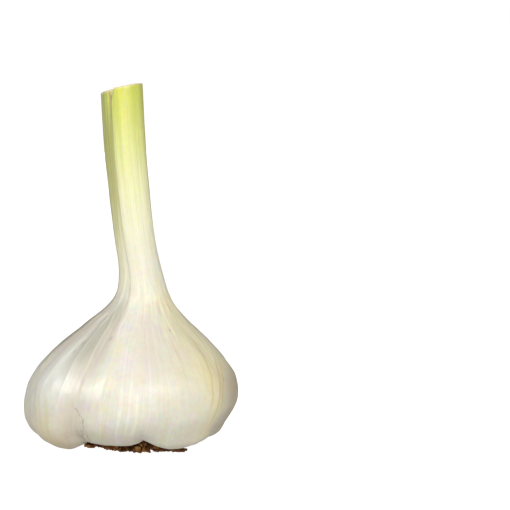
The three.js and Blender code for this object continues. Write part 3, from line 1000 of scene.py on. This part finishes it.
# Marks on the skin, the cut and the roots: share and colour.
MARKS = {
    "green line": (0.28, (0.50, 0.56, 0.14)),
    # greener, and darker as painted shade
    "inner leaf": (0.80, (0.41, 0.475, 0.13)),
    "inner line": (0.45, (0.60, 0.44, 0.15)),
    # painted shade in the creases and under the bulb
    "crease": (0.35, (0.50, 0.44, 0.33)),
    "grime": (0.70, (0.18, 0.11, 0.06)),
    "crack": (0.62, (0.26, 0.19, 0.11)),
    "fleck": (0.60, (0.36, 0.31, 0.32)),
    "leaf edge": (0.75, (0.44, 0.30, 0.12)),
    "split": (0.75, (0.90, 0.86, 0.56)),
    "split edge": (0.80, (0.40, 0.27, 0.11)),
    "rim": (0.70, (0.72, 0.62, 0.42)),
    "rough cut": (0.40, (0.46, 0.45, 0.22)),
    "root end": (0.12, (0.34, 0.23, 0.11)),
}
FIBRE_SHARE = 0.2
FIBRE_TINT = (0.88, 0.86, 0.80)
VEIN_SHARE = 0.3  # of the fine veins' tint, against the ribs'
VEIN_TINT = (0.80, 0.82, 0.70)
COLOUR_WAVER = 0.06  # how far the colours along the leaf waver, as a share of its run
# How strong streaks, veins and mottle are: on the neck, and how much more on the body.
STREAK_STRENGTH = (0.55, 0.45)
VEIN_STRENGTH = (0.14, 0.3)
MOTTLE_STRENGTH = (0.18, 0.27)
FINE_MOTTLE_STRENGTH = 0.52
# Stations between which each comes in: the body downwards, grime downwards, brown edges, the cut's rim.
BODY_SPAN = (10.5, 8.0)
GRIME_SPAN = (3.8, 0.6)
BROWN_EDGE_RISE = (11.9, 12.75)
RIM_SPAN = (12.965, 12.985)
GRIME_OFF_CREASES = 0.12  # how much grime there is outside the creases
BROWN_EDGE_ON_NECK = 0.35  # how brown the leaf's edge is lower on the neck
ROOT_TONE_SHARE = 0.48  # how much of the tone is the root's own, the rest being patches
ROOT_END_SPAN = (0.97, 1.0)
GRAIN_HEIGHT = 0.0002  # metres, of the bumps in skin and roots
SKIN_GLOSS = {"From Min": 0.3, "From Max": 0.7, "To Min": 0.34, "To Max": 0.48}
SKIN_FINISH = {
    "Specular IOR Level": 0.9,
    "Coat Weight": 0.42,
    "Coat Roughness": 0.32,
    "Subsurface Weight": 0.2,
    "Subsurface Radius": (1.0, 0.8, 0.5),
    "Subsurface Scale": 0.0015,
}
ROOT_FINISH = {"Roughness": 0.85, "Specular IOR Level": 0.25}


def new_group(name, inputs, outputs):
    """An empty node group. inputs maps names to default numbers, outputs maps names to socket kinds."""
    tree = bpy.data.node_groups.new(name, "ShaderNodeTree")
    for label, default in inputs.items():
        socket = tree.interface.new_socket(label, in_out="INPUT", socket_type="NodeSocketFloat")
        socket.default_value = default
    for label, kind in outputs.items():
        tree.interface.new_socket(label, in_out="OUTPUT", socket_type=kind)
    given = tree.nodes.new("NodeGroupInput")
    result = tree.nodes.new("NodeGroupOutput")
    return Graph(tree), given.outputs, result.inputs


def streak_group():
    """Noise drawn out along the leaf: Round sets how many streaks lie round it, Along how many to a
    centimetre of its run."""
    graph, given, result = new_group(
        "streaks",
        {"Round": 20, "Along": 1, "Detail": 3, "Low": 0.4, "High": 0.6, "Seed": 0},
        {"Mask": "NodeSocketFloat", "Value": "NodeSocketFloat"},
    )
    inputs = {0: graph.attribute("turn", "Vector"), "Scale": given["Round"]}
    turned = graph.add("ShaderNodeVectorMath", inputs, operation="SCALE")
    flat = graph.add("ShaderNodeSeparateXYZ", {0: turned}).node.outputs
    run = graph.math("MULTIPLY", graph.attribute("run"), 0.1)
    lift = graph.math("ADD", graph.math("MULTIPLY", run, given["Along"]), given["Seed"])
    place = graph.add("ShaderNodeCombineXYZ", {0: flat[0], 1: flat[1], 2: lift})
    inputs = {"Vector": place, "Scale": 1.0, "Detail": given["Detail"], "Roughness": 0.6}
    value = graph.add("ShaderNodeTexNoise", inputs)
    graph.feed(result["Value"], value)
    graph.feed(result["Mask"], graph.between(value, given["Low"], given["High"]))
    return graph.tree


def blotch_group():
    """Even noise in the object's own space. Size is the width of a blotch in millimetres."""
    graph, given, result = new_group(
        "blotches",
        {"Size": 5, "Detail": 3, "Low": 0.4, "High": 0.6, "Seed": 0},
        {"Mask": "NodeSocketFloat", "Value": "NodeSocketFloat", "Colour": "NodeSocketColor"},
    )
    place = graph.add("ShaderNodeTexCoord", output="Object")
    scale = graph.math("DIVIDE", 1 / MM, given["Size"])
    offset = graph.add("ShaderNodeCombineXYZ", {0: given["Seed"]})
    moved = graph.add("ShaderNodeVectorMath", {0: place, 1: offset}, operation="ADD")
    value = graph.add("ShaderNodeTexNoise", {"Vector": moved, "Scale": scale, "Detail": given["Detail"]})
    graph.feed(result["Value"], value)
    graph.feed(result["Colour"], value.node.outputs[1])
    graph.feed(result["Mask"], graph.between(value, given["Low"], given["High"]))
    return graph.tree


def new_material(name):
    """A material, the graph of its nodes and its shader's sockets."""
    material = bpy.data.materials.new(name)
    material.use_nodes = True
    shader = material.node_tree.nodes["Principled BSDF"]
    return material, Graph(material.node_tree), shader.inputs


def leaf_colour(graph, streaks, blotches, body):
    """The leaf's own colour along its run, which wavers a little, under streaks, fibres and mottle."""
    along = graph.math("DIVIDE", graph.attribute("station"), float(LAST))
    waver = graph.use(streaks, "Value", round=3.0, along=0.6, seed=3.0)
    waver = graph.math("MULTIPLY", graph.math("SUBTRACT", waver, 0.5), COLOUR_WAVER)
    colour = graph.ramp(graph.math("ADD", along, waver), LEAF_COLOURS)
    strength = graph.rising(body, *STREAK_STRENGTH)
    for share, tint, settings in SKIN_TINTS:
        mask = graph.math("MULTIPLY", graph.use(streaks, "Mask", **settings), strength)
        colour = graph.tint(colour, mask, share, tint)
    fibre = graph.use(streaks, "Value", round=60.0, along=1.2, detail=4.0, seed=41.0)
    fibre = graph.math("MULTIPLY", graph.between(fibre, 0.3, 0.7), FIBRE_SHARE)
    colour = graph.blend(fibre, colour, FIBRE_TINT, "MULTIPLY")
    mottle = graph.use(blotches, "Colour", size=5.0, detail=3.0, seed=83.0)
    colour = graph.blend(graph.rising(body, *MOTTLE_STRENGTH), colour, mottle, "SOFT_LIGHT")
    fine_mottle = graph.use(blotches, "Colour", size=1.4, detail=3.0, seed=47.0)
    return graph.blend(FINE_MOTTLE_STRENGTH, colour, fine_mottle, "SOFT_LIGHT")


def leaf_markings(graph, colour, streaks, body, neck):
    """Broad tints, some of them painted shade and one a painted highlight, green lines up the neck, the
    inner leaf with some painted shade, pale ribs and veins, and the drawn lines.
    """
    # Broad tints, some of them painted shade and one a painted highlight
    for name, share, tint in PATCH_TINTS:
        colour = graph.tint(colour, graph.attribute(name), share, tint)
    line = graph.use(streaks, "Mask", round=26.0, along=0.25, detail=2.0, low=0.5, high=0.66, seed=52.0)
    colour = graph.tint(colour, graph.math("MULTIPLY", line, neck), *MARKS["green line"])
    inner = graph.attribute("inner_leaf")
    # the inner leaf's own green, darkened with painted shade where it lies behind the outer leaf's edge
    colour = graph.tint(colour, inner, *MARKS["inner leaf"])
    line = graph.use(streaks, "Mask", round=15.0, along=0.25, detail=2.0, low=0.46, high=0.58, seed=58.0)
    colour = graph.tint(colour, graph.math("MULTIPLY", line, inner), *MARKS["inner line"])
    veins = graph.math("MULTIPLY", graph.attribute("vein"), VEIN_SHARE)
    veins = graph.math("MAXIMUM", graph.attribute("rib"), veins)
    veins = graph.math("MULTIPLY", veins, graph.rising(body, *VEIN_STRENGTH))
    colour = graph.blend(veins, colour, VEIN_TINT)
    for name, share, tint in LINE_TINTS:
        colour = graph.tint(colour, graph.attribute(name), share, tint)
    return colour


def worn_and_shaded_places(graph, colour, blotches, neck):
    """Painted shade in the creases and under the bulb, dirt in creases and near the roots, the torn line,
    flecks, and brown edges of leaf and split.
    """
    station = graph.attribute("station")
    crease = graph.attribute("crease")
    # painted shade: darker in the creases and in the socket under the bulb
    colour = graph.tint(colour, crease, *MARKS["crease"])
    grime = graph.use(blotches, "Mask", size=1.6, detail=5.0, low=0.56, high=0.66, seed=7.0)
    grime = graph.math("MULTIPLY", grime, graph.between(station, *GRIME_SPAN))
    grime = graph.math("MULTIPLY", grime, graph.math("ADD", GRIME_OFF_CREASES, crease))
    colour = graph.tint(colour, grime, *MARKS["grime"])
    torn = graph.use(blotches, "Mask", size=0.9, detail=2.0, low=0.36, high=0.54, seed=29.0)
    colour = graph.tint(colour, graph.math("MULTIPLY", graph.attribute("crack"), torn), *MARKS["crack"])
    colour = graph.tint(colour, graph.attribute("fleck"), *MARKS["fleck"])
    high = graph.math("MULTIPLY", neck, BROWN_EDGE_ON_NECK)
    high = graph.math("MAXIMUM", graph.between(station, *BROWN_EDGE_RISE), high)
    edge = graph.math("MULTIPLY", graph.attribute("leaf_edge"), high)
    colour = graph.tint(colour, edge, *MARKS["leaf edge"])
    colour = graph.tint(colour, graph.attribute("split"), *MARKS["split"])
    colour = graph.tint(colour, graph.attribute("split_edge"), *MARKS["split edge"])
    return graph.tint(colour, graph.between(station, *RIM_SPAN), *MARKS["rim"])


def cut_colour(graph, blotches):
    """The cut face: colours by ring, roughened."""
    rings = graph.ramp(graph.attribute("ring"), CUT_COLOURS)
    rough = graph.use(blotches, "Mask", size=0.8, detail=4.0, low=0.3, high=0.8, seed=3.0)
    return graph.tint(rings, rough, *MARKS["rough cut"])


def skin_material(streaks, blotches):
    """Dry, softly shining leaf with a fine grain that runs along it."""
    material, graph, shader = new_material("garlic_skin")
    body = graph.between(graph.attribute("station"), *BODY_SPAN)
    neck = graph.math("SUBTRACT", 1.0, body)
    colour = leaf_colour(graph, streaks, blotches, body)
    colour = leaf_markings(graph, colour, streaks, body, neck)
    colour = worn_and_shaded_places(graph, colour, blotches, neck)
    colour = graph.blend(graph.attribute("cut"), colour, cut_colour(graph, blotches))
    graph.feed(shader["Base Color"], colour)
    patch = graph.use(streaks, "Value", round=10.0, along=1.0, seed=61.0)
    graph.feed(shader["Roughness"], graph.add("ShaderNodeMapRange", {"Value": patch, **SKIN_GLOSS}))
    set_sockets(shader, SKIN_FINISH)
    lines = graph.use(streaks, "Value", round=110.0, along=1.0, detail=4.0, seed=71.0)
    crinkle = graph.use(blotches, "Value", size=1.8, detail=5.0, seed=5.0)
    height = graph.math("ADD", lines, graph.math("MULTIPLY", crinkle, 0.6))
    bump = graph.add("ShaderNodeBump", {"Height": height, "Strength": 0.25, "Distance": GRAIN_HEIGHT})
    graph.feed(shader["Normal"], bump)
    return material


def root_material(blotches):
    """Corky brown, each root in its own tone, with patches across them and slightly paler cut ends."""
    material, graph, shader = new_material("garlic_roots")
    patch = graph.use(blotches, "Mask", size=3.2, detail=3.0, low=0.36, high=0.66, seed=9.0)
    tone = graph.math("MULTIPLY", graph.attribute("tone"), ROOT_TONE_SHARE)
    tone = graph.math("ADD", tone, graph.math("MULTIPLY", patch, 1 - ROOT_TONE_SHARE))
    colour = graph.ramp(tone, ROOT_COLOURS)
    colour = graph.tint(colour, graph.between(graph.attribute("tip"), *ROOT_END_SPAN), *MARKS["root end"])
    graph.feed(shader["Base Color"], colour)
    set_sockets(shader, ROOT_FINISH)
    grain = graph.use(blotches, "Value", size=0.5, detail=4.0, seed=2.0)
    bump = graph.add("ShaderNodeBump", {"Height": grain, "Strength": 0.6, "Distance": GRAIN_HEIGHT})
    graph.feed(shader["Normal"], bump)
    return material


# ---------------------------------------------------------------- putting it together

def dress(piece, material, node):
    """Gives a piece its material, its body and the node it stands in for, if there is one."""
    piece.data.materials.append(material)
    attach(piece, "root")
    if node:
        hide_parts(node)


make_camera()
make_studio()
make_floor()
streaks = streak_group()
blotches = blotch_group()
dress(make_bulb(), skin_material(streaks, blotches), "bulb")
roots = root_material(blotches)
dress(make_plate(), roots, "root_crown")
dress(make_roots(), roots, None)
